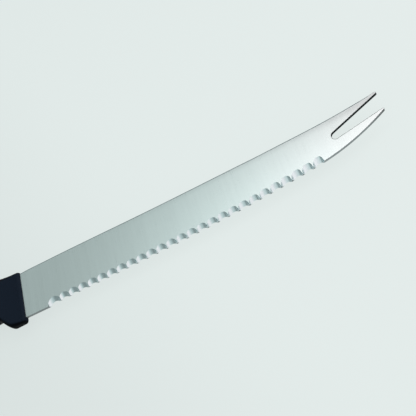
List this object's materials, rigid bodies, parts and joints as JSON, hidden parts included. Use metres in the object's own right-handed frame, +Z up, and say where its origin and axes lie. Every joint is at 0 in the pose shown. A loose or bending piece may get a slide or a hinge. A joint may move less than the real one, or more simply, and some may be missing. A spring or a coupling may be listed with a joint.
{
  "type": "tomato knife",
  "caption": "Tomato knife with a thin scalloped steel blade, a forked tip for lifting slices and a dark moulded handle with a finger guard.",
  "frame": {"origin": "middle of the knife's outline, on the surface that it lies on", "axes": "+X along the blade to the forked tip, +Y towards the spine, +Z up through the thickness, scallops on the upper side"},
  "size_m": [0.2552, 0.0256, 0.012],
  "materials": {
    "blade_steel": "stainless steel, finely brushed across the blade, bright ground scallops",
    "handle_plastic": "dark navy moulded plastic, matte with a very fine grain",
    "grip_rubber": "near-black soft grip, matte with fine raised dots"
  },
  "bodies": {
    "root": {"blade": "blade_steel", "handle_body": "handle_plastic", "grip_pad_upper": "grip_rubber", "grip_pad_lower": "grip_rubber"}
  },
  "joints": []
}
